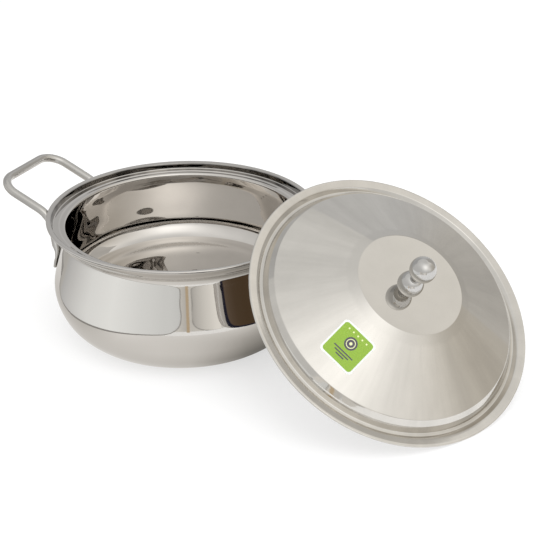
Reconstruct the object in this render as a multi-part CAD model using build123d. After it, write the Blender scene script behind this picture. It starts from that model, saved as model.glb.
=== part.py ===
from build123d import *
import math
import os

# Insulated chapati casserole: a double-walled steel pot with two wire bail
# handles, and a loose double-walled lid that leans on the pot.
# Millimetres, +Z up. The origin is the centre of the pot's flat base, on the
# surface it stands on. The handles lie along X.

# ---------------------------------------------------------------- dimensions
SHEET = 0.6            # steel sheet
GAP = 0.05             # foam to sheet

# pot
RIM_R = 125.0          # outer radius of the rim hem
RIM_Z = 109.6          # top of the rim
BASE_FLAT_R = 95.0     # flat of the base
FLOOR_Z = 31.0         # inside floor of the bowl
NECK_R = 107.6         # inside radius of the bowl's neck
LEDGE_DROP = 7.2       # ledge below the rim
SEAT_IN_R = 118.0      # outer edge of the ledge
FLANGE_IN_R = 120.2    # inner edge of the rim flange
PLUG_R = 6.0           # foam filling hole in the base
PLUG_Y = 52.0

# wire handles
WIRE_R = 4.0
BAR_X = 173.25         # outer bar, centreline
BAR_UP = 13.7          # outer bar above the rim
HALF_W = 42.0          # half the spacing of the two side bars
SIDE_SLOPE = 0.442     # fall of the side bars towards the pot
SHOULDER_X = 117.7     # where a side bar would meet its leg
CORNER_BEND = 19.0
SHOULDER_BEND = 24.0
FOOT_W = 12.0          # flattened foot, across
FOOT_T = 4.2           # flattened foot, thickness
NUGGET_R = 2.2

# lid, in its own frame: origin in the plane of the flange's outer edge,
# +Z towards the knob, +X towards the sticker
LID_R = 127.0
LID_FLANGE_IN_R = 119.9
LID_DISC_R = 46.6
LID_DISC_Z = 35.0
CONE_OUT_R = 107.5
CONE_OUT_Z = 6.25
LID_THICK = 4.2        # from the lid's top to the top of its liner
KNOB_R = 11.0
BALL_UP = 22.6         # ball centre above the disc
SCREW_R = 2.5
STICKER = 32.6         # side of the square sticker
STICKER_R = 78.6       # its middle, from the lid's axis
STICKER_T = 0.15

# how the lid leans on the right handle
LID_POS = (215.0, -33.5, 75.55)
LID_AXIS = (0.49986, -0.30398, 0.81101)
LID_X = (-0.25433, -0.94662, -0.19805)


# ------------------------------------------------------------------- helpers
def V(r, z):
    return Vector(r, 0, z)


def corners(pts):
    """Tangent lines and arcs through corners (r, z, bend radius)."""
    out = []
    last = V(pts[0][0], pts[0][1])
    for i in range(1, len(pts) - 1):
        a, b, c = (V(p[0], p[1]) for p in pts[i - 1:i + 2])
        u = (a - b).normalized()
        w = (c - b).normalized()
        ang = math.acos(max(-1, min(1, u.dot(w))))
        r = pts[i][2]
        t = r / math.tan(ang / 2)
        s, e = b + u * t, b + w * t
        mid = (u + w).normalized()
        m = b + mid * (r / math.sin(ang / 2) - r)
        if (s - last).length > 1e-4:
            out.append(Line(last, s))
        out.append(ThreePointArc(s, m, e))
        last = e
    out.append(Line(last, V(pts[-1][0], pts[-1][1])))
    return out


def parallel(edges, d):
    """The same path, d to the left of its direction."""
    out = []
    for e in edges:
        def at(u, e=e):
            p, t = e.position_at(u), e.tangent_at(u)
            return Vector(p.X - t.Z * d, 0, p.Z + t.X * d)
        if e.geom_type == GeomType.LINE:
            out.append(Line(at(0), at(1)))
        elif e.geom_type == GeomType.CIRCLE:
            out.append(ThreePointArc(at(0), at(0.5), at(1)))
        else:
            n = 8
            out.append(Spline(*[at(i / n) for i in range(n + 1)],
                              tangents=[e.tangent_at(0), e.tangent_at(1)]))
    return out


def shift_corners(pts, d):
    """Corner list of the path d to the left of the given one."""
    segs = []
    for a, b in zip(pts, pts[1:]):
        t = (V(b[0], b[1]) - V(a[0], a[1])).normalized()
        n = Vector(-t.Z, 0, t.X) * d
        segs.append((V(a[0], a[1]) + n, V(b[0], b[1]) + n, t))
    out = [(segs[0][0].X, segs[0][0].Z, 0)]
    for i in range(1, len(pts) - 1):
        p, _, t = segs[i - 1]
        q, _, s = segs[i]
        den = t.X * s.Z - t.Z * s.X
        k = ((q.X - p.X) * s.Z - (q.Z - p.Z) * s.X) / den
        turn = 1 if den > 0 else -1          # 1: the path turns left
        out.append((p.X + t.X * k, p.Z + t.Z * k,
                    max(0.25, pts[i][2] - turn * d)))
    out.append((segs[-1][1].X, segs[-1][1].Z, 0))
    return out


def spin(edges):
    return revolve(make_face(edges), Axis.Z, 360)


def sheet(path, d):
    """A spun sheet between a path and its parallel d to the left."""
    other = parallel(path, d)
    return spin(path + other + [Line(path[0] @ 0, other[0] @ 0),
                                Line(path[-1] @ 1, other[-1] @ 1)])


def under(path, z):
    """Solid between a path that starts on the axis and the plane z."""
    a, b = path[0] @ 0, path[-1] @ 1
    return spin(path + [Line(b, V(b.X, z)), Line(V(b.X, z), V(0, z)),
                        Line(V(0, z), a)])


def rod(r, z0, z1):
    return Pos(0, 0, (z0 + z1) / 2) * Cylinder(r, z1 - z0)


# ------------------------------------------------------------- pot: outer shell
flat = Line(V(0, 0), V(BASE_FLAT_R, 0))
belly_rows = [
    # each run of the profile, with the direction it ends in
    [(BASE_FLAT_R, 0), (99.4, 0.75), (103.6, 3.2), (108.9, 8.0), (114.9, 15.6)],
    [(114.9, 15.6), (119.1, 24.3), (121.9, 34.3), (122.4, 45.6)],
    [(122.4, 45.6), (119.9, 56.9), (116.5, 68.3), (113.8, 78.3)],
    [(113.8, 78.3), (111.7, 86.4), (111.1, 91.0), (112.8, 95.0)],
    [(112.8, 95.0), (117.6, 99.3), (121.3, 103.2), (124.15, 107.6)],
]
belly_dirs = [(1, 0), (0.53, 0.85), (-0.1, 1), (-0.255, 0.967), (0.66, 0.75),
              (0.56, 0.83)]
bellies = [Spline(*[V(*q) for q in row],
                  tangents=[(belly_dirs[i][0], 0, belly_dirs[i][1]),
                            (belly_dirs[i + 1][0], 0, belly_dirs[i + 1][1])])
           for i, row in enumerate(belly_rows)]
shell_path = [flat] + bellies
outer_shell = sheet(shell_path, SHEET)

# ------------------------------------------------------------- pot: inner bowl
wall = [
    Spline(V(90, FLOOR_Z), V(96.5, 31.6), V(102.6, 34.0), V(107.8, 38.2),
           tangents=[(1, 0, 0), (0.64, 0, 0.77)]),
    Spline(V(107.8, 38.2), V(111.4, 43.6), V(113.0, 50.0), V(113.0, 58.0),
           tangents=[(0.64, 0, 0.77), (-0.06, 0, 1)]),
    Spline(V(113.0, 58.0), V(111.6, 70.0), V(109.4, 82.0), V(NECK_R, 95.0),
           tangents=[(-0.06, 0, 1), (0, 0, 1)]),
]
bowl_top = corners([
    (NECK_R, 95.0, 0),
    (NECK_R, RIM_Z - LEDGE_DROP - 0.2, 3.2),
    (SEAT_IN_R, RIM_Z - LEDGE_DROP + 0.3, 1.2),
    (FLANGE_IN_R, RIM_Z - 1.1, 1.1),
    (RIM_R, RIM_Z, 0.9),
    (RIM_R, RIM_Z - 1.9, 0),
])
bowl_path = [Line(V(0, FLOOR_Z), V(90, FLOOR_Z))] + wall + bowl_top
inner_bowl = sheet(bowl_path, -SHEET)

# ------------------------------------------------------- pot: foam and its plug
foam_out = parallel(shell_path, SHEET + GAP)
foam_in = parallel(bowl_path[:6], -(SHEET + GAP))
FOAM_TOP = RIM_Z - LEDGE_DROP - 1.2
a, b = foam_out[0] @ 0, foam_out[-1] @ 1
hull = spin(foam_out + [Line(b, V(0, b.Z)), Line(V(0, b.Z), a)])
a, b = foam_in[0] @ 0, foam_in[-1] @ 1
core = spin(foam_in + [Line(b, V(b.X, 130)), Line(V(b.X, 130), V(0, 130)),
                       Line(V(0, 130), a)])
pot_insulation = hull - core - Pos(0, 0, FOAM_TOP + 50) * Cylinder(140, 100)

hole = Pos(0, PLUG_Y, 0) * Cylinder(PLUG_R, 6)
outer_shell = outer_shell - hole
base_plug = (Pos(0, PLUG_Y, 1.6) * Cylinder(PLUG_R - 0.05, 3.0)
             + Pos(0, PLUG_Y, SHEET + 0.05 + 0.6) * Cylinder(PLUG_R + 2.0, 1.2))
base_plug = base_plug.solid()
pot_insulation = pot_insulation - Pos(0, PLUG_Y, 0) * Cylinder(PLUG_R + 2.1, 7)
pot_insulation = pot_insulation.solid()

# ----------------------------------------------------------------- wire handle
BAR_Z = RIM_Z + BAR_UP
SHOULDER_Z = BAR_Z - SIDE_SLOPE * (BAR_X - SHOULDER_X)
LEG_TOP = Vector(SHOULDER_X, -HALF_W, SHOULDER_Z)
NECKDOWN = Vector(114.9, -HALF_W, 70.0)   # round wire ends, foot begins


def mirror_y(p):
    return Vector(p.X, -p.Y, p.Z)


corner = Vector(BAR_X, -HALF_W, BAR_Z)
route = [NECKDOWN, LEG_TOP, corner, mirror_y(corner), mirror_y(LEG_TOP),
         mirror_y(NECKDOWN)]
line = FilletPolyline(*route, radius=[SHOULDER_BEND, CORNER_BEND, CORNER_BEND,
                                      SHOULDER_BEND])
wire = sweep(Plane(line @ 0, z_dir=line % 0) * Circle(WIRE_R), path=line)


def belly_r(z):
    """Outer radius of the shell at a height on its belly."""
    run = bellies[1] if z < 45.6 else bellies[2]
    lo, hi = 0, 1
    for _ in range(40):
        m = (lo + hi) / 2
        if (run @ m).Z < z:
            lo = m
        else:
            hi = m
    return (run @ lo).X


def foot(sign):
    """Flattened end of the wire, lying along the belly."""
    rows = [(70.0, None), (64.5, 4.9, 3.0), (58.5, FOOT_W / 2, FOOT_T / 2),
            (53.0, FOOT_W / 2, FOOT_T / 2), (48.6, FOOT_W / 2, FOOT_T / 2)]
    mids = []
    for row in rows:
        if row[1] is None:
            mids.append(NECKDOWN)
            continue
        off = FOOT_T / 2 + 0.5 + (0.9 if row[0] > 62 else 0)
        r = belly_r(row[0]) + off
        mids.append(Vector(math.sqrt(r * r - HALF_W ** 2), -HALF_W, row[0]))
    secs = []
    for i, (row, m) in enumerate(zip(rows, mids)):
        d = (mids[min(i + 1, 4)] - mids[max(i - 1, 0)]).normalized()
        if i == 0:
            d = (NECKDOWN - LEG_TOP).normalized()
        radial = Vector(m.X, m.Y, 0).normalized()
        along = d.cross(radial).normalized()
        pl = Plane(m, x_dir=along, z_dir=d)
        if row[1] is None:
            secs.append(pl * Circle(WIRE_R))
        else:
            secs.append(pl * Ellipse(row[1], row[2]))
    f = loft([s.face() for s in secs])
    return f if sign < 0 else mirror(f, about=Plane.XZ)


handle = (wire + foot(-1) + foot(1)).solid()


def nugget(sign):
    """Weld between a foot and the belly, pointing at the pot's axis."""
    z = 53.5
    r = belly_r(z)
    az = math.degrees(math.asin(HALF_W / (r + 2.6)))
    tip = math.degrees(math.atan2(belly_r(z - 1) - belly_r(z + 1), 2))
    return Rot(0, 0, sign * az) * Pos(r, 0, z) * Rot(0, 90 - tip, 0) \
        * Pos(0, 0, 0.35) * Cylinder(NUGGET_R, 1.3)


right = [nugget(-1), nugget(1)]
left = [Rot(0, 0, 180) * n for n in right]
handle_right = handle
handle_left = Rot(0, 0, 180) * handle
for n in right:
    handle_right = handle_right - n
    outer_shell = outer_shell - n
for n in left:
    handle_left = handle_left - n
    outer_shell = outer_shell - n
handle_right = handle_right.solid()
handle_left = handle_left.solid()
outer_shell = outer_shell.solid()
nuggets = []
for n in right + left:
    nuggets.append(n.solid())
weld_nuggets = Compound(children=nuggets)

# ------------------------------------------------------------------- lid shell
lid_line = [
    (0, LID_DISC_Z, 0),
    (LID_DISC_R, LID_DISC_Z, 1.2),
    (CONE_OUT_R, CONE_OUT_Z, 2.2),
    (111.0, 2.2, 2.5),
    (114.0, -4.1, 1.2),
    (116.6, -4.4, 1.0),
    (LID_FLANGE_IN_R, -1.2, 1.4),
    (LID_R, 0, 0.9),
    (LID_R, -1.5, 0),
]
lid_path = corners(lid_line)
lid_shell = sheet(lid_path, -SHEET)

# ------------------------------------------------------------------- lid liner
deep = shift_corners(lid_line[:5], -LID_THICK)
near = shift_corners(lid_line[3:8], -(SHEET + 0.03))
# the liner's wall meets the ring that lies under the lid's channel
wall_a, wall_b = deep[3], deep[4]
ring_a, ring_b = near[1], near[2]


def meet(a, b, c, d):
    tx, tz, sx, sz = b[0] - a[0], b[1] - a[1], d[0] - c[0], d[1] - c[1]
    k = ((c[0] - a[0]) * sz - (c[1] - a[1]) * sx) / (tx * sz - tz * sx)
    return (a[0] + tx * k, a[1] + tz * k)


knee = meet(wall_a, wall_b, ring_a, ring_b)
brim = (near[4][1] - near[3][1]) / (near[4][0] - near[3][0])
EDGE_R = LID_R - SHEET - 0.4
liner_line = [deep[0], (deep[1][0], deep[1][1], 4.0),
              (deep[2][0], deep[2][1], 4.0), (deep[3][0], deep[3][1], 2.5),
              (knee[0], knee[1], 1.6), near[2], near[3],
              (EDGE_R, near[3][1] + (EDGE_R - near[3][0]) * brim, 0)]
liner_path = corners(liner_line)
lid_liner = sheet(liner_path, -SHEET)

# -------------------------------------------------------------------- lid foam
top_line = shift_corners(lid_line[:5], -(SHEET + GAP))
p, q = top_line[3], top_line[4]
top_line[4] = (p[0] + (q[0] - p[0]) * 0.42, p[1] + (q[1] - p[1]) * 0.42, 0)
bed_line = shift_corners(liner_line[:6], GAP)
lid_insulation = under(corners(top_line), -12) - under(corners(bed_line), -14)

# ------------------------------------------------------------------- lid knob
DISC_UNDER = LID_DISC_Z - SHEET
WASHER_T = 0.6
knob_washer = rod(6.5, DISC_UNDER - WASHER_T, DISC_UNDER) \
    - rod(SCREW_R + 0.15, 20, 60)
HEAD_TOP = DISC_UNDER - WASHER_T
knob_screw = (rod(4.6, HEAD_TOP - 2.2, HEAD_TOP)
              + rod(SCREW_R, HEAD_TOP - 0.5, LID_DISC_Z + BALL_UP + 2.0))
knob_screw = (knob_screw - rod(1.6, HEAD_TOP - 3, HEAD_TOP - 1.2)).solid()
lid_insulation = lid_insulation - rod(7.2, 25, 40)
lid_insulation = lid_insulation.solid()
lid_shell = (lid_shell - rod(SCREW_R + 0.15, 20, 60)).solid()

BALL_Z = LID_DISC_Z + BALL_UP
FLAT_R = 3.4
BALL_FLAT = BALL_Z - math.sqrt(KNOB_R ** 2 - FLAT_R ** 2)
knob_ball = Pos(0, 0, BALL_Z) * Sphere(KNOB_R) \
    - rod(20, BALL_FLAT - 20, BALL_FLAT) \
    - rod(SCREW_R + 0.02, BALL_FLAT - 5, BALL_Z + 2.6)
knob_ball = knob_ball.solid()
knob_base = (Pos(0, 0, LID_DISC_Z) * Sphere(KNOB_R)
             - rod(20, LID_DISC_Z - 20, LID_DISC_Z)
             + rod(FLAT_R, LID_DISC_Z + 5, BALL_FLAT)
             - rod(SCREW_R + 0.15, LID_DISC_Z - 5, BALL_FLAT + 5))
knob_base = knob_base.solid()

# ---------------------------------------------------------------- lid sticker
slope = (LID_DISC_Z - CONE_OUT_Z) / (CONE_OUT_R - LID_DISC_R)
sz = LID_DISC_Z - (STICKER_R - LID_DISC_R) * slope
up = Vector(slope, 0, 1).normalized()
pad = Plane((STICKER_R, 0, sz), x_dir=(0, 1, 0), z_dir=up)
prism = extrude(pad * RectangleRounded(STICKER, STICKER, 3.2), 6, both=True)


def cone_band(lo, hi):
    pts = []
    for r in (52.0, 106.0):
        pts.append((r, LID_DISC_Z - (r - LID_DISC_R) * slope))
    k = math.sqrt(1 + slope ** 2)
    return spin(Polyline(V(pts[0][0], pts[0][1] + lo * k),
                         V(pts[1][0], pts[1][1] + lo * k),
                         V(pts[1][0], pts[1][1] + hi * k),
                         V(pts[0][0], pts[0][1] + hi * k), close=True).edges())


lid_label = (prism & cone_band(0.02, 0.02 + STICKER_T)).solid()

# ---------------------------------------------------- place the lid, and write
lean = Plane(LID_POS, x_dir=LID_X, z_dir=LID_AXIS).location
parts = {
    "outer_shell": outer_shell,
    "inner_bowl": inner_bowl.solid(),
    "pot_insulation": pot_insulation,
    "base_plug": base_plug,
    "handle_left": handle_left,
    "handle_right": handle_right,
    "weld_nuggets": weld_nuggets,
    "lid_shell": lean * lid_shell,
    "lid_liner": lean * lid_liner.solid(),
    "lid_insulation": lean * lid_insulation,
    "knob_base": lean * knob_base,
    "knob_ball": lean * knob_ball,
    "knob_screw": lean * knob_screw,
    "knob_washer": lean * knob_washer.solid(),
    "lid_label": lean * lid_label,
}

os.makedirs("parts", exist_ok=True)
for name, shape in parts.items():
    export_step(shape, f"parts/{name}.step")
    b = shape.bounding_box()
    print(name, round(shape.volume, 1), shape.is_valid,
          [round(v, 1) for v in (b.min.X, b.min.Y, b.min.Z,
                                 b.max.X, b.max.Y, b.max.Z)])
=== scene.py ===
import bpy, math
import numpy as np
from mathutils import Matrix, Vector


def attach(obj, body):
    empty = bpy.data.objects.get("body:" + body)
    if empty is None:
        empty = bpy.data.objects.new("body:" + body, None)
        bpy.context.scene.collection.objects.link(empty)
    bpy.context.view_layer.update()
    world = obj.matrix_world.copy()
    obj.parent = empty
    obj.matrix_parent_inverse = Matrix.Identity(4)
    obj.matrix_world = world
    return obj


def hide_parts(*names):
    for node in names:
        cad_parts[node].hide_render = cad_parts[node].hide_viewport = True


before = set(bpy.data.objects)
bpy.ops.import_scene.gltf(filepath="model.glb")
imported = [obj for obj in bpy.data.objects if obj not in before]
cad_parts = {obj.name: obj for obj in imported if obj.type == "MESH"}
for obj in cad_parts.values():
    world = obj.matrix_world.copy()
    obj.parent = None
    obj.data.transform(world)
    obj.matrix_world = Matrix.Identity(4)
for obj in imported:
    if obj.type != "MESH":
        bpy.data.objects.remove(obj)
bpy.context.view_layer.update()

MM = 0.001
SHEET = 0.6
RIM_Z = 109.6
LID_POS = (215.0, -33.5, 75.55)
LID_AXIS = (0.49986, -0.30398, 0.81101)
LID_X = (-0.25433, -0.94662, -0.19805)

# ------------------------------------------------------------ camera
al = math.atan2(0.4067, 0.9135)
pitch = math.radians(27.05)
head = Vector((-math.sin(al), math.cos(al), 0))
right = Vector((math.cos(al), math.sin(al), 0))
look = head * math.cos(pitch) - Vector((0, 0, 1)) * math.sin(pitch)
upv = right.cross(look)
eye = Vector((439.06, -796.53, 404.08 + RIM_Z)) * MM
cam_data = bpy.data.cameras.new("cam")
cam = bpy.data.objects.new("cam", cam_data)
bpy.context.scene.collection.objects.link(cam)
cam.matrix_world = Matrix(((right.x, upv.x, -look.x, eye.x),
                           (right.y, upv.y, -look.y, eye.y),
                           (right.z, upv.z, -look.z, eye.z), (0, 0, 0, 1)))
cam_data.sensor_fit = "HORIZONTAL"
cam_data.sensor_width = 36.0
cam_data.lens = 1072.6 / 533 * 36
cam_data.clip_start = 0.01
cam_data.clip_end = 60
bpy.context.scene.camera = cam


# ------------------------------------------------------------ profiles
def spline(pts, t0, t1, n):
    """Smooth curve through points, by chord length, with end directions."""
    P = np.array(pts, float)
    d = np.r_[0, np.cumsum(np.linalg.norm(np.diff(P, axis=0), axis=1))]
    m = len(P)
    A = np.zeros((m, m)); B = np.zeros((m, 2))
    A[0, 0] = 1; B[0] = np.array(t0) / np.linalg.norm(t0)
    A[-1, -1] = 1; B[-1] = np.array(t1) / np.linalg.norm(t1)
    h = np.diff(d)
    for i in range(1, m - 1):
        A[i, i - 1] = h[i]; A[i, i] = 2 * (h[i] + h[i - 1]); A[i, i + 1] = h[i - 1]
        B[i] = 3 * (h[i] * (P[i] - P[i - 1]) / h[i - 1]
                    + h[i - 1] * (P[i + 1] - P[i]) / h[i])
    T = np.linalg.solve(A, B)
    s = np.linspace(0, d[-1], n)
    k = np.clip(np.searchsorted(d, s, side="right") - 1, 0, m - 2)
    u = (s - d[k]) / h[k]
    u = u[:, None]; hh = h[k][:, None]
    return ((2 * u**3 - 3 * u**2 + 1) * P[k] + (u**3 - 2 * u**2 + u) * hh * T[k]
            + (-2 * u**3 + 3 * u**2) * P[k + 1] + (u**3 - u**2) * hh * T[k + 1])


def rows_curve(rows, dirs, step):
    """Splines joined end to end, with the direction at each join."""
    out = []
    for i, row in enumerate(rows):
        L = sum(math.dist(a, b) for a, b in zip(row, row[1:]))
        q = spline(row, dirs[i], dirs[i + 1], max(6, int(L / step)))
        out.append(q if not out else q[1:])
    return np.concatenate(out)


def bends(pts, step=1.2, fine=7):
    """Corners (r, z, bend radius) to points along lines and arcs."""
    out = [np.array(pts[0][:2], float)]

    def line(to):
        a = out[-1]; L = np.linalg.norm(to - a)
        k = max(1, int(L / step))
        for i in range(1, k + 1):
            out.append(a + (to - a) * i / k)
    for i in range(1, len(pts) - 1):
        a, b, c = (np.array(p[:2], float) for p in pts[i - 1:i + 2])
        u = (a - b) / np.linalg.norm(a - b); w = (c - b) / np.linalg.norm(c - b)
        ang = math.acos(float(np.clip(u @ w, -1, 1))); r = pts[i][2]
        t = r / math.tan(ang / 2)
        s, e = b + u * t, b + w * t
        line(s)
        m = (u + w) / np.linalg.norm(u + w); ctr = b + m * r / math.sin(ang / 2)
        a0 = math.atan2(*(s - ctr)[::-1]); a1 = math.atan2(*(e - ctr)[::-1])
        da = (a1 - a0 + math.pi) % (2 * math.pi) - math.pi
        for j in range(1, fine + 1):
            q = a0 + da * j / fine
            out.append(ctr + r * np.array([math.cos(q), math.sin(q)]))
    line(np.array(pts[-1][:2], float))
    return np.array(out)


def offset(P, d):
    """Points d to the left of an open path."""
    T = np.gradient(P, axis=0)
    T /= np.linalg.norm(T, axis=1)[:, None]
    return P + np.c_[-T[:, 1], T[:, 0]] * d


def shift(pts, d):
    segs = []
    for a, b in zip(pts, pts[1:]):
        t = np.array(b[:2], float) - np.array(a[:2], float)
        t /= np.linalg.norm(t); n = np.array([-t[1], t[0]]) * d
        segs.append((np.array(a[:2]) + n, np.array(b[:2]) + n, t))
    out = [(*segs[0][0], 0)]
    for i in range(1, len(pts) - 1):
        p, _, t = segs[i - 1]; q, _, s = segs[i]
        den = t[0] * s[1] - t[1] * s[0]
        k = ((q[0] - p[0]) * s[1] - (q[1] - p[1]) * s[0]) / den
        out.append((*(p + t * k), max(0.25, pts[i][2] - (1 if den > 0 else -1) * d)))
    out.append((*segs[-1][1], 0))
    return out


# ------------------------------------------------------------ mesh makers
def obj_from(name, V, F, mat, body, node=None, smooth=True, matrix=None, uv=None):
    me = bpy.data.meshes.new(name)
    me.from_pydata([tuple(v) for v in V], [], F)
    me.validate()
    spun = me.attributes.new("spun", "FLOAT_VECTOR", "POINT")
    spun.data.foreach_set("vector", np.array(V, np.float32).ravel())
    if matrix is not None:
        me.transform(matrix)
    if uv is not None:
        lay = me.uv_layers.new(name="uv")
        idx = np.zeros(len(me.loops), np.int32)
        me.loops.foreach_get("vertex_index", idx)
        lay.data.foreach_set("uv", np.array(uv, np.float32)[idx].ravel())
    me.update()
    if smooth:
        me.polygons.foreach_set("use_smooth", [True] * len(me.polygons))
    me.materials.append(mat)
    o = bpy.data.objects.new(name, me)
    bpy.context.scene.collection.objects.link(o)
    bpy.context.view_layer.update()
    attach(o, body)
    if node:
        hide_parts(*([node] if isinstance(node, str) else node))
    return o


def lathe(name, loop, mat, body, node, matrix=None, seg=240):
    """Closed profile loop (r, z), spun about Z. Points on the axis become one vertex."""
    V, rows = [], []
    ang = np.linspace(0, 2 * np.pi, seg, endpoint=False)
    c, s = np.cos(ang), np.sin(ang)
    for r, z in loop:
        if r < 1e-4:
            rows.append([len(V)]); V.append((0, 0, z * MM))
        else:
            rows.append(list(range(len(V), len(V) + seg)))
            V += [(r * c[i] * MM, r * s[i] * MM, z * MM) for i in range(seg)]
    F = []
    for a, b in zip(rows, rows[1:] + rows[:1]):
        if len(a) == 1 and len(b) == 1:
            continue
        for i in range(seg):
            j = (i + 1) % seg
            if len(a) == 1:
                F.append((a[0], b[j], b[i]))
            elif len(b) == 1:
                F.append((a[i], a[j], b[0]))
            else:
                F.append((a[i], a[j], b[j], b[i]))
    return obj_from(name, V, F, mat, body, node, matrix=matrix)


# ------------------------------------------------------------ materials
def nt(mat):
    return mat.node_tree.nodes, mat.node_tree.links


def math_node(N, L, op, a, b=None, c=None):
    n = N.new("ShaderNodeMath"); n.operation = op
    for i, v in enumerate((a, b, c)):
        if v is None:
            continue
        if isinstance(v, (int, float)):
            n.inputs[i].default_value = v
        else:
            L.new(v, n.inputs[i])
    return n.outputs[0]


def steel(name, col, rough=(0.08, 0.16), wave=0.0, wave_scale=22.0, ring=0.0004,
          smudge=0.6, aniso=0.0, tint=None, streak=0.0, groove_shade=None, disc=None, soft=2.0):
    """Spun stainless steel: fine turning lines round local Z, low waviness, smudges."""
    m = bpy.data.materials.new(name)
    m.use_nodes = True
    N, L = nt(m)
    bs = N["Principled BSDF"]
    bs.inputs["Metallic"].default_value = 1.0
    bs.inputs["Specular IOR Level"].default_value = 0.5
    if aniso:
        bs.inputs["Anisotropic"].default_value = aniso
        tg = N.new("ShaderNodeTangent"); tg.direction_type = "RADIAL"; tg.axis = "Z"
        L.new(tg.outputs[0], bs.inputs["Tangent"])
    tc = N.new("ShaderNodeAttribute"); tc.attribute_name = "spun"
    sep = N.new("ShaderNodeSeparateXYZ"); L.new(tc.outputs["Vector"], sep.inputs[0])
    x, y, z = sep.outputs
    r = math_node(N, L, "SQRT", math_node(N, L, "ADD", math_node(N, L, "MULTIPLY", x, x),
                                         math_node(N, L, "MULTIPLY", y, y)))
    # turning lines: noise that changes fast with radius and height and slowly round the axis
    comb = N.new("ShaderNodeCombineXYZ")
    L.new(math_node(N, L, "MULTIPLY", math_node(N, L, "ADD", r, z), 1500.0), comb.inputs[0])
    L.new(math_node(N, L, "MULTIPLY", x, 9.0), comb.inputs[1])
    L.new(math_node(N, L, "MULTIPLY", y, 9.0), comb.inputs[2])
    lines = N.new("ShaderNodeTexNoise"); lines.inputs["Scale"].default_value = 1.0
    lines.inputs["Detail"].default_value = 3.0
    L.new(comb.outputs[0], lines.inputs["Vector"])
    # smudges: soft patches of roughness
    sm = N.new("ShaderNodeTexNoise"); sm.inputs["Scale"].default_value = 26.0
    sm.inputs["Detail"].default_value = 5.0; sm.inputs["Roughness"].default_value = 0.62
    L.new(tc.outputs["Vector"], sm.inputs["Vector"])
    mixed = math_node(N, L, "ADD", math_node(N, L, "MULTIPLY", sm.outputs["Fac"], smudge),
                      math_node(N, L, "MULTIPLY", lines.outputs["Fac"], 1 - smudge))
    mr = N.new("ShaderNodeMapRange")
    mr.inputs["From Min"].default_value = 0.3; mr.inputs["From Max"].default_value = 0.7
    mr.inputs["To Min"].default_value = rough[0]; mr.inputs["To Max"].default_value = rough[1]
    L.new(mixed, mr.inputs["Value"])
    shine = mr.outputs[0]
    if disc:
        # the flat in the middle is polished brighter than the rest
        pd = N.new("ShaderNodeMapRange")
        pd.inputs["From Min"].default_value = disc[0] - 0.0008
        pd.inputs["From Max"].default_value = disc[0] + 0.0012
        pd.inputs["To Min"].default_value = disc[1]
        L.new(r, pd.inputs["Value"])
        shine = math_node(N, L, "MULTIPLY", shine, pd.outputs[0])
    L.new(shine, bs.inputs["Roughness"])
    # colour: very slight variation, warmer in the smudges
    ramp = N.new("ShaderNodeValToRGB")
    ramp.color_ramp.elements[0].position = 0.3; ramp.color_ramp.elements[1].position = 0.72
    ramp.color_ramp.elements[0].color = (*[c * 0.955 for c in col], 1)
    ramp.color_ramp.elements[1].color = (*(tint or [min(1, c * 1.03) for c in col]), 1)
    L.new(sm.outputs["Fac"], ramp.inputs[0])
    colour = ramp.outputs[0]
    b1 = N.new("ShaderNodeBump"); b1.inputs["Strength"].default_value = 0.35
    b1.inputs["Distance"].default_value = ring * 0.02
    L.new(lines.outputs["Fac"], b1.inputs["Height"])
    last = b1
    if streak:
        # rays from the hub, from the spinning tool: they vary only round the axis
        cb = N.new("ShaderNodeCombineXYZ")
        L.new(math_node(N, L, "DIVIDE", x, r), cb.inputs[0])
        L.new(math_node(N, L, "DIVIDE", y, r), cb.inputs[1])
        L.new(math_node(N, L, "MULTIPLY", r, 1.5), cb.inputs[2])
        ray = N.new("ShaderNodeTexNoise"); ray.inputs["Scale"].default_value = 5.5
        ray.inputs["Detail"].default_value = 3.5; ray.inputs["Roughness"].default_value = 0.6
        L.new(cb.outputs[0], ray.inputs["Vector"])
        on = N.new("ShaderNodeMapRange")
        on.inputs["From Min"].default_value = 0.0475; on.inputs["From Max"].default_value = 0.056
        L.new(r, on.inputs["Value"])
        h = math_node(N, L, "MULTIPLY", ray.outputs["Fac"], on.outputs[0])
        b3 = N.new("ShaderNodeBump"); b3.inputs["Strength"].default_value = 1.0
        b3.inputs["Distance"].default_value = streak
        L.new(h, b3.inputs["Height"]); L.new(last.outputs[0], b3.inputs["Normal"])
        last = b3
        pale = N.new("ShaderNodeMapRange")
        pale.inputs["From Min"].default_value = 0.35; pale.inputs["From Max"].default_value = 0.65
        pale.inputs["To Min"].default_value = 0.94; pale.inputs["To Max"].default_value = 1.03
        L.new(h, pale.inputs["Value"])
        vm = N.new("ShaderNodeVectorMath"); vm.operation = "SCALE"
        L.new(colour, vm.inputs[0]); L.new(pale.outputs[0], vm.inputs["Scale"])
        colour = vm.outputs[0]
    if groove_shade:
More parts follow.
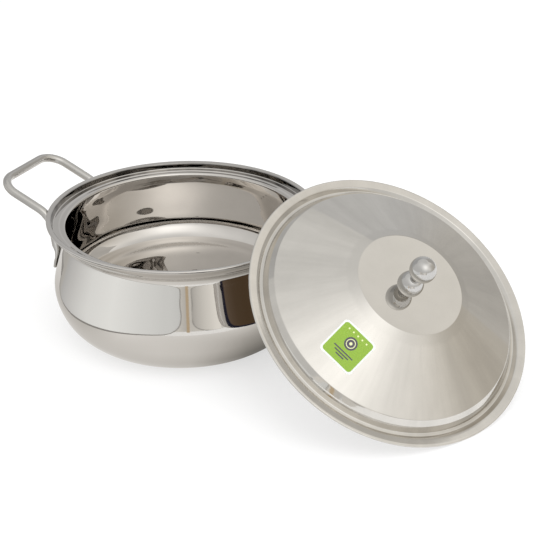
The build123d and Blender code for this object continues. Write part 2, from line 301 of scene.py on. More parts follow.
        # painted shade: a darker, patchy band between two heights in the groove under the rim
        lo_z, hi_z, r_in, shade_mult = groove_shade
        shade_band = None
        for a, b in ((lo_z, lo_z + 0.0006), (hi_z, hi_z - 0.0006)):
            g = N.new("ShaderNodeMapRange")
            g.inputs["From Min"].default_value = a; g.inputs["From Max"].default_value = b
            L.new(z, g.inputs["Value"])
            shade_band = g.outputs[0] if shade_band is None else math_node(N, L, "MULTIPLY", shade_band, g.outputs[0])
        g = N.new("ShaderNodeMapRange")
        g.inputs["From Min"].default_value = r_in; g.inputs["From Max"].default_value = r_in + 0.0006
        L.new(r, g.inputs["Value"])
        shade_band = math_node(N, L, "MULTIPLY", shade_band, g.outputs[0])
        shade_patch = N.new("ShaderNodeTexNoise"); shade_patch.inputs["Scale"].default_value = 38.0
        shade_patch.inputs["Detail"].default_value = 3.0
        L.new(tc.outputs["Vector"], shade_patch.inputs["Vector"])
        pr = N.new("ShaderNodeMapRange")
        pr.inputs["From Min"].default_value = 0.36; pr.inputs["From Max"].default_value = 0.62
        pr.inputs["To Min"].default_value = shade_mult * 0.25; pr.inputs["To Max"].default_value = shade_mult
        L.new(shade_patch.outputs["Fac"], pr.inputs["Value"])
        mg = N.new("ShaderNodeMix"); mg.data_type = "FLOAT"
        L.new(shade_band, mg.inputs[0]); mg.inputs[2].default_value = 1.0
        L.new(pr.outputs[0], mg.inputs[3])
        vm = N.new("ShaderNodeVectorMath"); vm.operation = "SCALE"
        L.new(colour, vm.inputs[0]); L.new(mg.outputs[0], vm.inputs["Scale"])
        colour = vm.outputs[0]
    L.new(colour, bs.inputs["Base Color"])
    if wave:
        wv = N.new("ShaderNodeTexNoise"); wv.inputs["Scale"].default_value = wave_scale
        wv.inputs["Detail"].default_value = soft; wv.inputs["Distortion"].default_value = 0.4
        L.new(tc.outputs["Vector"], wv.inputs["Vector"])
        b2 = N.new("ShaderNodeBump"); b2.inputs["Strength"].default_value = 1.0
        b2.inputs["Distance"].default_value = wave
        L.new(wv.outputs["Fac"], b2.inputs["Height"])
        L.new(b1.outputs[0], b2.inputs["Normal"])
        last = b2
    L.new(last.outputs[0], bs.inputs["Normal"])
    return m


def plain(name, col, rough, scale, depth, metal=0.0, var=0.12):
    m = bpy.data.materials.new(name)
    m.use_nodes = True
    N, L = nt(m); bs = N["Principled BSDF"]
    bs.inputs["Metallic"].default_value = metal
    tc = N.new("ShaderNodeTexCoord")
    no = N.new("ShaderNodeTexNoise"); no.inputs["Scale"].default_value = scale
    no.inputs["Detail"].default_value = 6.0
    L.new(tc.outputs["Object"], no.inputs["Vector"])
    ramp = N.new("ShaderNodeValToRGB")
    ramp.color_ramp.elements[0].position = 0.3; ramp.color_ramp.elements[1].position = 0.7
    ramp.color_ramp.elements[0].color = (*[c * (1 - var) for c in col], 1)
    ramp.color_ramp.elements[1].color = (*[min(1, c * (1 + var)) for c in col], 1)
    L.new(no.outputs["Fac"], ramp.inputs[0]); L.new(ramp.outputs[0], bs.inputs["Base Color"])
    mr = N.new("ShaderNodeMapRange")
    mr.inputs["To Min"].default_value = rough[0]; mr.inputs["To Max"].default_value = rough[1]
    L.new(no.outputs["Fac"], mr.inputs["Value"]); L.new(mr.outputs[0], bs.inputs["Roughness"])
    bp = N.new("ShaderNodeBump"); bp.inputs["Strength"].default_value = 0.5
    bp.inputs["Distance"].default_value = depth
    L.new(no.outputs["Fac"], bp.inputs["Height"]); L.new(bp.outputs[0], bs.inputs["Normal"])
    return m


m_outer = steel("steel_outer", (0.615, 0.595, 0.565), (0.035, 0.075), wave=0.00012,
                wave_scale=9.0)
# the bowl's steel carries a painted shade band in the groove under the rim
m_bowl = steel("steel_bowl", (0.66, 0.635, 0.605), (0.012, 0.035), wave=0.0008, wave_scale=17.0,
               ring=0.000001, groove_shade=(0.1033, 0.1088, 0.1185, 0.55), soft=0.6)
m_lid = steel("steel_lid", (0.66, 0.638, 0.60), (0.05, 0.10), wave=0.00010, wave_scale=10.0,
              streak=0.00022, disc=(0.0466, 0.45))
m_liner = steel("steel_liner", (0.62, 0.60, 0.58), (0.04, 0.09), wave=0.0003, wave_scale=14.0)
m_wire = steel("steel_wire", (0.56, 0.545, 0.52), (0.14, 0.24), wave=0.0001, wave_scale=60.0)
m_knob = steel("steel_knob", (0.57, 0.56, 0.545), (0.03, 0.07), wave=0.00003, wave_scale=60.0)
m_weld = plain("weld_tint", (0.22, 0.10, 0.07), (0.3, 0.5), 900.0, 0.00005, metal=1.0, var=0.3)
m_foam = plain("foam", (0.80, 0.70, 0.42), (0.75, 0.95), 700.0, 0.0004)
m_plug = plain("plug_rubber", (0.02, 0.02, 0.022), (0.55, 0.75), 500.0, 0.00006)
m_zinc = plain("zinc", (0.60, 0.60, 0.62), (0.22, 0.38), 600.0, 0.00003, metal=1.0, var=0.08)


# ------------------------------------------------------------ pot
belly_rows = [[(95.0, 0), (99.4, 0.75), (103.6, 3.2), (108.9, 8.0), (114.9, 15.6)],
              [(114.9, 15.6), (119.1, 24.3), (121.9, 34.3), (122.4, 45.6)],
              [(122.4, 45.6), (119.9, 56.9), (116.5, 68.3), (113.8, 78.3)],
              [(113.8, 78.3), (111.7, 86.4), (111.1, 91.0), (112.8, 95.0)],
              [(112.8, 95.0), (117.6, 99.3), (121.3, 103.2), (124.15, 107.6)]]
belly_dirs = [(1, 0), (0.53, 0.85), (-0.1, 1), (-0.255, 0.967), (0.66, 0.75), (0.56, 0.83)]
belly = rows_curve(belly_rows, belly_dirs, 1.1)
shell = np.r_[np.c_[np.linspace(0, 93, 24), np.zeros(24)], belly]
body = lathe("outer_body", np.r_[shell, offset(shell, SHEET)[::-1]], m_outer, "pot",
             "outer_shell")


def bore(o, x, y, r, z0, z1, n=64):
    """Cut a round hole along Z."""
    a = np.linspace(0, 2 * np.pi, n, endpoint=False)
    ring = [(x + r * math.cos(t), y + r * math.sin(t)) for t in a]
    V = [(p * MM, q * MM, z0 * MM) for p, q in ring] + [(p * MM, q * MM, z1 * MM) for p, q in ring]
    F = [tuple(range(n))[::-1], tuple(range(n, 2 * n))]
    F += [(i, (i + 1) % n, n + (i + 1) % n, n + i) for i in range(n)]
    me = bpy.data.meshes.new("cutter"); me.from_pydata(V, [], F)
    c = bpy.data.objects.new("cutter", me)
    bpy.context.scene.collection.objects.link(c)
    md = o.modifiers.new("hole", "BOOLEAN"); md.operation = "DIFFERENCE"
    md.solver = "EXACT"; md.object = c
    bpy.context.view_layer.update()
    done = bpy.data.meshes.new_from_object(o.evaluated_get(bpy.context.evaluated_depsgraph_get()))
    o.modifiers.clear()
    done.name = o.data.name + "_cut"
    o.data = done
    bpy.data.objects.remove(c)
    bpy.data.meshes.remove(me)


bore(body, 0, 52, 6.0, -4, 4)

FLOOR_Z, NECK_R = 31.0, 107.6
wall = rows_curve([[(90, FLOOR_Z), (96.7, 31.5), (102.9, 33.9), (108.1, 38.2)],
                   [(108.1, 38.2), (111.8, 43.4), (113.1, 49.0), (112.9, 56.5)],
                   [(112.9, 56.5), (111.5, 70.0), (109.4, 82.0), (NECK_R, 95.0)]],
                  [(1, 0), (0.66, 0.75), (-0.10, 1), (0, 1)], 0.9)
top = bends([(NECK_R, 95.0, 0), (NECK_R, RIM_Z - 7.4, 2.4), (112.6, RIM_Z - 7.3, 1.6),
             (114.2, RIM_Z - 6.6, 1.6), (119.3, RIM_Z - 6.5, 0.9),
             (120.2, RIM_Z - 1.1, 1.1), (125.0, RIM_Z, 0.9), (125.0, RIM_Z - 1.9, 0)], 0.7)
bowl = np.r_[np.c_[np.linspace(0, 88, 24), np.full(24, FLOOR_Z)], wall, top[1:]]
lathe("bowl", np.r_[bowl, offset(bowl, -SHEET)[::-1]], m_bowl, "pot", "inner_bowl")


# ------------------------------------------------------------ handles
WIRE_R, BAR_X, HALF_W = 4.0, 173.25, 42.0
BAR_Z = RIM_Z + 13.7
SHOULDER = np.array([117.7, -HALF_W, BAR_Z - 0.442 * (BAR_X - 117.7)])
NECKDOWN = np.array([114.9, -HALF_W, 70.0])
CORNER = np.array([BAR_X, -HALF_W, BAR_Z])


def belly_r(z):
    k = belly[:, 1]
    i = np.argmin(np.abs(k - z))
    sl = slice(max(0, i - 2), i + 3)
    return float(np.interp(z, k[sl], belly[sl, 0]))


def fillet3(a, b, c, r, n):
    u = (a - b) / np.linalg.norm(a - b); w = (c - b) / np.linalg.norm(c - b)
    ang = math.acos(float(u @ w)); t = r / math.tan(ang / 2)
    s, e = b + u * t, b + w * t
    m = (u + w) / np.linalg.norm(u + w); ctr = b + m * r / math.sin(ang / 2)
    v0, v1 = (s - ctr) / r, (e - ctr) / r
    om = math.acos(float(np.clip(v0 @ v1, -1, 1)))
    return [ctr + r * (math.sin((1 - k) * om) * v0 + math.sin(k * om) * v1) / math.sin(om)
            for k in np.linspace(0, 1, n)]


def handle(name, node, turn):
    secs = []                       # centre, half width, half thickness
    rows = [(48.6, 6.0, 2.1), (53.0, 6.0, 2.1), (58.5, 6.0, 2.1), (64.5, 4.9, 3.0),
            (70.0, 4.0, 4.0)]
    mids = []
    for z, a, b in rows:
        if z == 70.0:
            mids.append(NECKDOWN)
        else:
            r = belly_r(z) + 2.6 + (0.9 if z > 62 else 0)
            mids.append(np.array([math.sqrt(r * r - HALF_W**2), -HALF_W, z]))
    d = np.linspace(0, 4, 25)
    M = np.array(mids); A = np.array([r[1] for r in rows]); B = np.array([r[2] for r in rows])

    def hermite(P, x):
        k = min(int(x), len(P) - 2); u = x - k
        g = np.gradient(P, axis=0)
        return ((2 * u**3 - 3 * u**2 + 1) * P[k] + (u**3 - 2 * u**2 + u) * g[k]
                + (-2 * u**3 + 3 * u**2) * P[k + 1] + (u**3 - u**2) * g[k + 1])
    for x in d:
        secs.append((hermite(M, x), hermite(A, x), hermite(B, x)))
    f1 = fillet3(NECKDOWN, SHOULDER, CORNER, 24.0, 22)
    mirror = CORNER * np.array([1, -1, 1])
    f2 = fillet3(SHOULDER, CORNER, mirror, 19.0, 22)
    pts = [NECKDOWN + (f1[0] - NECKDOWN) * k for k in (0.33, 0.66)] + f1
    pts += [f1[-1] + (f2[0] - f1[-1]) * k for k in (0.2, 0.4, 0.6, 0.8)] + f2
    pts += [f2[-1] + (np.array([BAR_X, 0, BAR_Z]) - f2[-1]) * k for k in (0.33, 0.66, 1.0)]
    secs += [(p, WIRE_R, WIRE_R) for p in pts]
    C = np.array([s[0] for s in secs])
    T = np.gradient(C, axis=0); T /= np.linalg.norm(T, axis=1)[:, None]
    T[-1] = (0, 1, 0)
    radial = np.array([C[0][0], C[0][1], 0]); radial /= np.linalg.norm(radial)
    along = np.cross(T[0], radial); along /= np.linalg.norm(along)
    n = 40
    th = np.linspace(0, 2 * np.pi, n, endpoint=False)
    rings = []
    for i, (c, a, b) in enumerate(secs):
        if i:
            along = along - T[i] * (along @ T[i]); along /= np.linalg.norm(along)
        rad = np.cross(along, T[i])
        ring = c + a * np.cos(th)[:, None] * along + b * np.sin(th)[:, None] * rad
        if i == 0:                  # rounded, square-cut end
            for k, dz in ((0.55, 0.62), (0.80, 0.55), (0.92, 0.38), (0.985, 0.15)):
                rings.append(c - T[0] * dz + (ring - c) * k)
        rings.append(ring)
    R = rings + [r * np.array([1, -1, 1]) for r in rings[-2::-1]]
    V = np.concatenate(R) * MM
    if turn:
        V = V * np.array([-1, -1, 1])
    F = [tuple(range(n))[::-1], tuple(range(len(V) - n, len(V)))]
    for k in range(len(R) - 1):
        for i in range(n):
            j = (i + 1) % n
            F.append((k * n + i, k * n + j, (k + 1) * n + j, (k + 1) * n + i))
    o = obj_from(name, V, F, m_wire, "pot", node)
    import bmesh
    bm = bmesh.new(); bm.from_mesh(o.data)
    bmesh.ops.recalc_face_normals(bm, faces=bm.faces); bm.to_mesh(o.data); bm.free()
    return o


handle("bail_left", "handle_left", True)
handle("bail_right", "handle_right", False)

# ------------------------------------------------------------ lid
zl = Vector(LID_AXIS).normalized(); xl = Vector(LID_X)
xl = (xl - zl * xl.dot(zl)).normalized(); yl = zl.cross(xl)
lid_m = Matrix(((xl.x, yl.x, zl.x, LID_POS[0] * MM), (xl.y, yl.y, zl.y, LID_POS[1] * MM),
                (xl.z, yl.z, zl.z, LID_POS[2] * MM), (0, 0, 0, 1)))
lid_line = [(0, 35.0, 0), (46.6, 35.0, 1.2), (107.5, 6.25, 2.2), (111.0, 2.2, 2.5),
            (114.0, -4.1, 1.2), (116.6, -4.4, 1.0), (119.9, -1.2, 1.4), (127.0, 0, 0.9),
            (127.0, -1.5, 0)]
P = bends(lid_line, 1.2)
lathe("lid_top", np.r_[P, offset(P, -SHEET)[::-1]], m_lid, "lid", "lid_shell", lid_m)

deep, near = shift(lid_line[:5], -4.2), shift(lid_line[3:8], -0.63)
(ax, az), (bx, bz) = deep[3][:2], deep[4][:2]
(cx, cz), (dx, dz) = near[1][:2], near[2][:2]
k = ((cx - ax) * (dz - cz) - (cz - az) * (dx - cx)) / ((bx - ax) * (dz - cz) - (bz - az) * (dx - cx))
knee = (ax + (bx - ax) * k, az + (bz - az) * k)
brim = (near[4][1] - near[3][1]) / (near[4][0] - near[3][0])
liner_line = [deep[0], (*deep[1][:2], 4.0), (*deep[2][:2], 4.0), (*deep[3][:2], 2.5),
              (*knee, 1.6), near[2], near[3],
              (126.0, near[3][1] + (126.0 - near[3][0]) * brim, 0)]
P = bends(liner_line, 1.2)
lathe("lid_under", np.r_[P, offset(P, -SHEET)[::-1]], m_liner, "lid", "lid_liner", lid_m)

# knob: half ball, neck and ball
q = np.radians(np.linspace(0, 72, 40))
base = np.r_[np.c_[11 * np.cos(q), 35 + 11 * np.sin(q)], [(3.4, 45.9), (3.4, 47.15)],
             [(2.65, 47.15), (2.65, 35.0)]]
lathe("knob_half", base, m_knob, "lid", "knob_base", lid_m, 96)
q = np.radians(np.linspace(-72.0, 90, 80))
ball = np.r_[np.c_[11 * np.cos(q), 57.6 + 11 * np.sin(q)]]
ball[-1] = (0, 68.6)
flat = ball[0][1]
lathe("knob_top", np.r_[[(0, 60.2), (2.52, 60.2), (2.52, flat)], ball], m_knob, "lid",
      "knob_ball", lid_m, 96)

# sticker
SIDE, CR, ST_R = 32.6, 3.2, 78.6
slope = (35.0 - 6.25) / (107.5 - 46.6)
kk = math.sqrt(1 + slope**2)
out = []
for cxx, cyy, a0 in ((1, 1, 0), (-1, 1, 90), (-1, -1, 180), (1, -1, 270)):
    for a in np.radians(np.linspace(a0, a0 + 90, 13)):
        out.append(((SIDE / 2 - CR) * cxx + CR * math.cos(a),
                    (SIDE / 2 - CR) * cyy + CR * math.sin(a)))
    nx = {0: (-1, 1), 90: (-1, -1), 180: (1, -1), 270: (1, 1)}[a0]
    e0 = np.array(out[-1]); e1 = np.array([(SIDE / 2 - CR) * nx[0] + CR * math.cos(math.radians(a0 + 90)),
                                          (SIDE / 2 - CR) * nx[1] + CR * math.sin(math.radians(a0 + 90))])
    out += [tuple(e0 + (e1 - e0) * i / 14) for i in range(1, 14)]
out = np.array(out)
n = len(out)
V, UV, rings = [], [], []


def on_cone(s, t, h):
    flat = math.hypot(ST_R * kk + t, s)          # the cone rolled out flat
    turn = math.atan2(s, ST_R * kk + t) * kk
    r = flat / kk
    zc = 35.0 - (r - 46.6) * slope
    r2, z2 = r + h * slope / kk, zc + h / kk
    return (r2 * math.cos(turn) * MM, r2 * math.sin(turn) * MM, z2 * MM)


for f, h in [(1.0, 0.02), (1.0, 0.13), (0.994, 0.165)] + [(f, 0.17) for f in np.linspace(0.96, 0.04, 24)]:
    rings.append(list(range(len(V), len(V) + n)))
    for s, t in out * f:
        V.append(on_cone(s, t, h)); UV.append((s / SIDE + 0.5, t / SIDE + 0.5))
F = [tuple(rings[0])[::-1], tuple(rings[-1])]
for a, b in zip(rings, rings[1:]):
    for i in range(n):
        j = (i + 1) % n
        F.append((a[i], a[j], b[j], b[i]))

m_st = bpy.data.materials.new("sticker")
m_st.use_nodes = True
N, L = nt(m_st); bs = N["Principled BSDF"]
uvn = N.new("ShaderNodeUVMap"); uvn.uv_map = "uv"
sp = N.new("ShaderNodeSeparateXYZ"); L.new(uvn.outputs[0], sp.inputs[0])
U, W = sp.outputs[0], sp.outputs[1]


def mth(op, a, b=None, c=None):
    return math_node(N, L, op, a, b, c)


def rbox(cu, cv, hu, hv, rad, soft=0.006):
    """1 inside a rounded box in the sticker's plane."""
    du = mth("MAXIMUM", mth("SUBTRACT", mth("ABSOLUTE", mth("SUBTRACT", U, cu)), hu - rad), 0.0)
    dv = mth("MAXIMUM", mth("SUBTRACT", mth("ABSOLUTE", mth("SUBTRACT", W, cv)), hv - rad), 0.0)
    dd = mth("SQRT", mth("ADD", mth("MULTIPLY", du, du), mth("MULTIPLY", dv, dv)))
    mr = N.new("ShaderNodeMapRange"); mr.inputs["From Min"].default_value = rad + soft
    mr.inputs["From Max"].default_value = rad - soft
    L.new(dd, mr.inputs["Value"])
    return mr.outputs[0]


def over(base, col, fac):
    mx = N.new("ShaderNodeMix"); mx.data_type = "RGBA"
    L.new(fac, mx.inputs[0])
    if isinstance(base, tuple):
        mx.inputs[6].default_value = (*base, 1)
    else:
        L.new(base, mx.inputs[6])
    mx.inputs[7].default_value = (*col, 1)
    return mx.outputs[2]


GREEN, DARK, PALE = (0.255, 0.43, 0.022), (0.055, 0.042, 0.075), (0.80, 0.86, 0.45)
no = N.new("ShaderNodeTexNoise"); no.inputs["Scale"].default_value = 40.0
no.inputs["Detail"].default_value = 4.0
L.new(uvn.outputs[0], no.inputs["Vector"])
c = over((0.86, 0.88, 0.86), GREEN, rbox(0.5, 0.5, 0.455, 0.455, 0.085))
c = over(c, DARK, rbox(0.50, 0.40, 0.165, 0.165, 0.165))
c = over(c, PALE, rbox(0.50, 0.40, 0.120, 0.120, 0.120))
c = over(c, DARK, rbox(0.50, 0.40, 0.100, 0.100, 0.100))
c = over(c, PALE, rbox(0.50, 0.40, 0.040, 0.040, 0.040))
for i, (w, v) in enumerate(((0.30, 0.665), (0.22, 0.735), (0.13, 0.80))):
    c = over(c, DARK, rbox(0.5, v, w, 0.016, 0.016))
for i in range(5):
    c = over(c, PALE, rbox(0.22 + 0.14 * i, 0.145, 0.022, 0.022, 0.022))
mx = N.new("ShaderNodeMix"); mx.data_type = "RGBA"; mx.blend_type = "MULTIPLY"
mx.inputs[0].default_value = 0.12
L.new(c, mx.inputs[6]); L.new(no.outputs["Fac"], mx.inputs[7])
L.new(mx.outputs[2], bs.inputs["Base Color"])
bs.inputs["Roughness"].default_value = 0.32
bs.inputs["Coat Weight"].default_value = 0.25
bs.inputs["Coat Roughness"].default_value = 0.12
bp = N.new("ShaderNodeBump"); bp.inputs["Strength"].default_value = 0.2
bp.inputs["Distance"].default_value = 0.00004
L.new(no.outputs["Fac"], bp.inputs["Height"]); L.new(bp.outputs[0], bs.inputs["Normal"])
obj_from("lid_sticker", V, F, m_st, "lid", "lid_label", smooth=False, matrix=lid_m,
         uv=UV)

# ------------------------------------------------------------ finish of the pieces kept from the model
keep = {"pot_insulation": m_foam, "lid_insulation": m_foam, "base_plug": m_plug,
        "weld_nuggets": m_weld, "knob_screw": m_zinc, "knob_washer": m_zinc}
for name, mat in keep.items():
    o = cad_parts[name]
    if not o.material_slots:
        o.data.materials.append(mat)
    for s in o.material_slots:
        s.material = mat

# ------------------------------------------------------------ studio
def emit(name, col, strength):
    m = bpy.data.materials.new(name)
    m.use_nodes = True
    N, L = nt(m)
    N.clear()
    e = N.new("ShaderNodeEmission"); o = N.new("ShaderNodeOutputMaterial")
    e.inputs[0].default_value = (*col, 1); e.inputs[1].default_value = strength
    L.new(e.outputs[0], o.inputs[0])
    return m


def card(name, centre, u, v, mat):
    """A board seen only in reflections."""
    me = bpy.data.meshes.new(name)
    c = Vector(centre); u = Vector(u); v = Vector(v)
    me.from_pydata([c - u - v, c + u - v, c + u + v, c - u + v], [], [(0, 1, 2, 3)])
    me.materials.append(mat)
    o = bpy.data.objects.new(name, me)
    bpy.context.scene.collection.objects.link(o)
    o.visible_camera = o.visible_diffuse = o.visible_shadow = False
    o.visible_transmission = o.visible_volume_scatter = False
    return o


Z = Vector((0, 0, 1))


def at(azim, dist, z=0.0):
    """A place round the pot; 0 is towards the camera, and positive is to its right."""
    a = math.radians(azim)
    return (-head * math.cos(a) + right * math.sin(a)) * dist + Z * z


def wall_card(name, a0, a1, dist, z0, z1, col, strength=1.0):
    p, q = at(a0, dist), at(a1, dist)
    return card(name, (p + q) / 2 + Z * (z0 + z1) / 2, (q - p) / 2, Z * (z1 - z0) / 2,
                emit(name, col, strength))


def arc_card(name, a0, a1, dist, z0, z1, stops, steps=40):
    """A curved board seen only in reflections, with its radiance stated at azimuths."""
    me = bpy.data.meshes.new(name)
    V, F, C = [], [], []
    xs = [t[0] for t in stops]
    for i in range(steps + 1):
        a = a0 + (a1 - a0) * i / steps
        col = [float(np.interp(a, xs, [t[1][c] for t in stops])) for c in range(3)]
        for z in (z0, z1):
            V.append(at(a, dist, z)); C.append(col)
    for i in range(steps):
        F.append((2 * i, 2 * i + 2, 2 * i + 3, 2 * i + 1))
    me.from_pydata(V, [], F)
    glow = me.attributes.new("glow", "FLOAT_VECTOR", "POINT")
    glow.data.foreach_set("vector", np.array(C, np.float32).ravel())
    m = emit(name, (1, 1, 1), 1.0)
    N, L = nt(m)
    a = N.new("ShaderNodeAttribute"); a.attribute_name = "glow"
    L.new(a.outputs["Vector"], N["Emission"].inputs[0])
    me.materials.append(m)
    o = bpy.data.objects.new(name, me)
    bpy.context.scene.collection.objects.link(o)
    o.visible_camera = o.visible_diffuse = o.visible_shadow = False
    o.visible_transmission = o.visible_volume_scatter = False
    return o


def grey(v, tint=(1, 1, 1)):
    return tuple(v * t for t in tint)


def board(name, rows):
    """A folded board seen only in reflections: (right, front, low z, high z, radiance), mm."""
    me = bpy.data.meshes.new(name)
    V, F, C = [], [], []
    for i, (a, b) in enumerate(zip(rows, rows[1:])):
        for k in range(8 if i < len(rows) - 2 else 9):
            t = k / 8
            x, y, z0, z1 = (a[c] + (b[c] - a[c]) * t for c in range(4))
            col = [a[4][c] + (b[4][c] - a[4][c]) * t for c in range(3)]
            base = (right * x - head * y) * MM
            V += [base + Z * z0 * MM, base + Z * z1 * MM]
            C += [col, col]
    for i in range(len(V) // 2 - 1):
        F.append((2 * i, 2 * i + 2, 2 * i + 3, 2 * i + 1))
    me.from_pydata(V, [], F)
    glow = me.attributes.new("glow", "FLOAT_VECTOR", "POINT")
    glow.data.foreach_set("vector", np.array(C, np.float32).ravel())
    m = emit(name, (1, 1, 1), 1.0)
    N, L = nt(m)
    a = N.new("ShaderNodeAttribute"); a.attribute_name = "glow"
    L.new(a.outputs["Vector"], N["Emission"].inputs[0])
    me.materials.append(m)
    o = bpy.data.objects.new(name, me)
    bpy.context.scene.collection.objects.link(o)
    o.visible_camera = o.visible_diffuse = o.visible_shadow = False
    o.visible_transmission = o.visible_volume_scatter = False
    return o


COOL, WARM = (0.985, 1.0, 1.0), (1.0, 0.97, 0.92)
TOP = 115
left_rows = [(-227, -150, 8, TOP, grey(0.52, WARM)), (-255, -100, 8, TOP, grey(0.56, WARM)),
             (-215, -40, 8, TOP, grey(0.60, WARM)), (-180, 5, 8, TOP, grey(0.64)),
             (-160, 45, 8, TOP, grey(0.80)), (-145, 95, 8, TOP, grey(1.10, COOL)),
             (-128, 145, 8, TOP, grey(1.20, COOL)), (-105, 220, 8, TOP, grey(1.05, COOL)),
             (-60, 310, 8, TOP, grey(0.94, COOL)), (-50, 405, 8, TOP, grey(0.93, COOL)),
             (-39, 558, 30, TOP, grey(0.90, COOL)), (-11, 560, 72, TOP, grey(0.88, COOL)),
             (10, 560, 112, TOP, grey(0.88, COOL))]
board("panel_left", left_rows)
board("panel_foot", [(r[0], r[1], r[2] - (9 if r[0] < -45 else 14), r[2], grey(0.36, WARM))
                     for r in left_rows])
arc_card("panel_gap", -16, 5, 0.64, -0.002, 0.16,
         [(-16, grey(0.90, WARM)), (-2, grey(0.88, WARM)), (5, grey(0.66, WARM))], 10)
wall_card("panel_seam", 4.2, 6.4, 0.50, -0.02, 0.16, (0.66, 0.52, 0.35))
mid = [(8.3, 96, 0.50), (9.2, 84, 0.54), (10.6, 66, 0.60), (12.5, 47, 0.66), (15, 30, 0.72),
       (18, 15, 0.80), (22, 5, 0.88), (26, 2, 0.98), (29.2, 2, 1.0)]
board("panel_mid", [(560 * math.sin(math.radians(a)), 560 * math.cos(math.radians(a)), z, TOP,
                     grey(g * 1.12, WARM)) for a, z, g in mid])
board("panel_brim", [(562 * math.sin(math.radians(a)), 562 * math.cos(math.radians(a)),
                      max(-2, z - 12), z, grey(0.42, WARM)) for a, z, g in mid])
arc_card("panel_side", 6.6, 36, 0.63, -0.002, 0.16,
         [(6.6, grey(0.80, WARM)), (29, grey(0.86, WARM)), (36, grey(0.70, WARM))], 16)
dark = [(27.2, 84), (27.0, 74), (27.3, 62), (28.3, 51), (30.0, 44), (33.0, 39), (39, 35), (48, 32),
        (75, 28)]


def ring_at(rad, turn, lift, col):
    return [(rad * math.sin(math.radians(a + turn)), rad * math.cos(math.radians(a + turn)),
             z + lift, 85.5, col) for a, z in dark]


board("lid_shade_line", ring_at(187, -0.9, -5, (0.020, 0.020, 0.034)))
shade = [(x, y, a, b, (0.084 + g * 0.060, 0.052 + g * 0.052, 0.027 + g * 0.048))
         for (x, y, a, b, _), g in zip(ring_at(185, 0.6, 0, None),
                                       (1, 1, 1, 0.8, 0.55, 0.25, 0.1, 0.2, 0.2))]
board("lid_shade", shade)
# the dark room behind the camera
card("room", at(-9, 0.95, 0.50), right * 0.030, Z * 0.012, emit("room", (0.10, 0.10, 0.10), 1.0))
# the wall behind the object
arc_card("panel_back", 104, 256, 1.5, -0.002, 1.92,
         [(104, grey(0.62, WARM)), (118, grey(0.54, WARM)), (138, grey(0.57, WARM)),
          (148, grey(0.64)), (158, grey(0.68)), (170, grey(0.66)), (184, grey(0.56)),
          (200, grey(0.54)), (230, grey(0.52)), (256, grey(0.60))])

me = bpy.data.meshes.new("floor")
me.from_pydata([(-6, -6, 0), (6, -6, 0), (6, 6, 0), (-6, 6, 0)], [], [(0, 1, 2, 3)])
m_floor = plain("floor_paper", (0.36, 0.36, 0.36), (0.8, 0.95), 3.0, 0.0, var=0.01)
m_floor.node_tree.nodes["Principled BSDF"].inputs["Emission Color"].default_value = (1, 1, 1, 1)
m_floor.node_tree.nodes["Principled BSDF"].inputs["Emission Strength"].default_value = 0.62
me.materials.append(m_floor)
floor = bpy.data.objects.new("floor", me)
bpy.context.scene.collection.objects.link(floor)

# painted shadow on the floor near the pot, seen only in the steel's reflections: darkest under the lid
turns = [-180, -120, -60, -35, -10, 6, 20, 36, 50, 80, 110, 150, 180]
floor_shadow_tones = {98: [.62, .58, .70, .76, .72, .66, .43, .20, .15, .25, .45, .60, .62],
         112: [.72, .64, .74, .80, .78, .72, .48, .25, .18, .28, .50, .68, .72],
         132: [.84, .68, .76, .86, .90, .84, .68, .43, .34, .40, .60, .80, .84],
         165: [.92, .66, .72, .94, .92, .86, .76, .62, .52, .50, .70, .90, .92],
         200: [.98, .70, .72, 1.0, .93, .88, .82, .76, .66, .60, .80, .96, .98],
         300: [1.0, .90, .90, 1.0, .97, .95, .93, .92, .90, .90, .95, 1.0, 1.0]}
me = bpy.data.meshes.new("floor_painted_shadow")
V, F, C = [], [], []
for rad in floor_shadow_tones:
    for k in range(73):
        a = -180 + 5 * k
        t = 1.04 * float(np.interp(a, turns, floor_shadow_tones[rad]))
        V.append(at(a, rad * MM, 0.00025)); C.append((t, t * (0.95 + 0.03 * t), t * (0.86 + 0.10 * t)))
for i in range(len(floor_shadow_tones) - 1):
    for k in range(72):
        F.append((i * 73 + k, i * 73 + k + 1, (i + 1) * 73 + k + 1, (i + 1) * 73 + k))
me.from_pydata(V, [], F)
glow = me.attributes.new("glow", "FLOAT_VECTOR", "POINT")
glow.data.foreach_set("vector", np.array(C, np.float32).ravel())
m = emit("floor_painted_shadow", (1, 1, 1), 1.0)
N, L = nt(m)
a = N.new("ShaderNodeAttribute"); a.attribute_name = "glow"
L.new(a.outputs["Vector"], N["Emission"].inputs[0])
me.materials.append(m)
o = bpy.data.objects.new("floor_painted_shadow", me)
bpy.context.scene.collection.objects.link(o)
o.visible_camera = o.visible_diffuse = o.visible_shadow = False
o.visible_transmission = o.visible_volume_scatter = False

world = bpy.data.worlds.new("studio")
bpy.context.scene.world = world
world.use_nodes = True
N, L = world.node_tree.nodes, world.node_tree.links
bg = N["Background"]
tc = N.new("ShaderNodeTexCoord")


def lobe(azim, elev, amount, width):
    """A soft patch of light or shade in one direction of the room."""
    e = math.radians(elev)
    d = at(azim, math.cos(e)) + Z * math.sin(e)
    dp = N.new("ShaderNodeVectorMath"); dp.operation = "DOT_PRODUCT"
    L.new(tc.outputs["Generated"], dp.inputs[0]); dp.inputs[1].default_value = d
    k = 1 / (1 - math.cos(math.radians(width)))
    ex = math_node(N, L, "EXPONENT", math_node(N, L, "MULTIPLY_ADD", dp.outputs["Value"], k, -k))
    return math_node(N, L, "MULTIPLY", ex, amount)


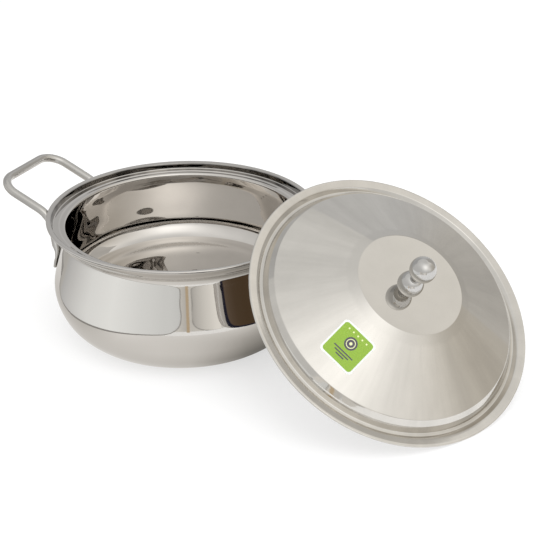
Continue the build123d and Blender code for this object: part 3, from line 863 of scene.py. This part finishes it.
total = None
for args in ((20, 46, 0.85, 26), (100, 5, -0.12, 22), (112, 44, 0.30, 15), (55, 19, 0.20, 14),
             (78, 52, 0.14, 12), (180, 62, 0.08, 25), (-60, 66, 0.15, 25)):
    v = lobe(*args)
    total = v if total is None else math_node(N, L, "ADD", total, v)
total = math_node(N, L, "ADD", total, 0.72)
tintf = math_node(N, L, "MINIMUM", lobe(95, 8, 1.0, 40), 1.0)
mx = N.new("ShaderNodeMix"); mx.data_type = "RGBA"
L.new(tintf, mx.inputs[0])
mx.inputs[6].default_value = (1.0, 0.995, 0.98, 1)
mx.inputs[7].default_value = (1.0, 0.94, 0.84, 1)
L.new(mx.outputs[2], bg.inputs[0]); L.new(total, bg.inputs[1])
soft = N.new("ShaderNodeBackground")
soft.inputs[0].default_value = (1.0, 1.0, 1.0, 1); soft.inputs[1].default_value = 0.80
white = N.new("ShaderNodeBackground")
white.inputs[0].default_value = (1.0, 1.0, 1.0, 1); white.inputs[1].default_value = 0.97
path = N.new("ShaderNodeLightPath")
m1 = N.new("ShaderNodeMixShader"); m2 = N.new("ShaderNodeMixShader")
L.new(path.outputs["Is Glossy Ray"], m1.inputs[0])
L.new(soft.outputs[0], m1.inputs[1]); L.new(bg.outputs[0], m1.inputs[2])
L.new(path.outputs["Is Camera Ray"], m2.inputs[0])
L.new(m1.outputs[0], m2.inputs[1]); L.new(white.outputs[0], m2.inputs[2])
L.new(m2.outputs[0], N["World Output"].inputs[0])

for name, pos, size, power in (("key", (0.9, -0.5, 1.6), 1.2, 9.0),
                               ("fill", (-1.2, -0.7, 1.4), 1.4, 6.0),
                               ("top", (0.1, 0.3, 2.0), 1.8, 14.0)):
    ld = bpy.data.lights.new(name, "AREA")
    ld.shape = "SQUARE"; ld.size = size; ld.energy = power
    lo_ = bpy.data.objects.new(name, ld)
    bpy.context.scene.collection.objects.link(lo_)
    lo_.visible_glossy = False
    lo_.location = pos
    lo_.rotation_euler = (Vector((0.1, 0, 0.05)) - Vector(pos)).to_track_quat("-Z", "Y").to_euler()

bpy.context.scene.view_settings.view_transform = "Standard"
bpy.context.scene.view_settings.look = "None"
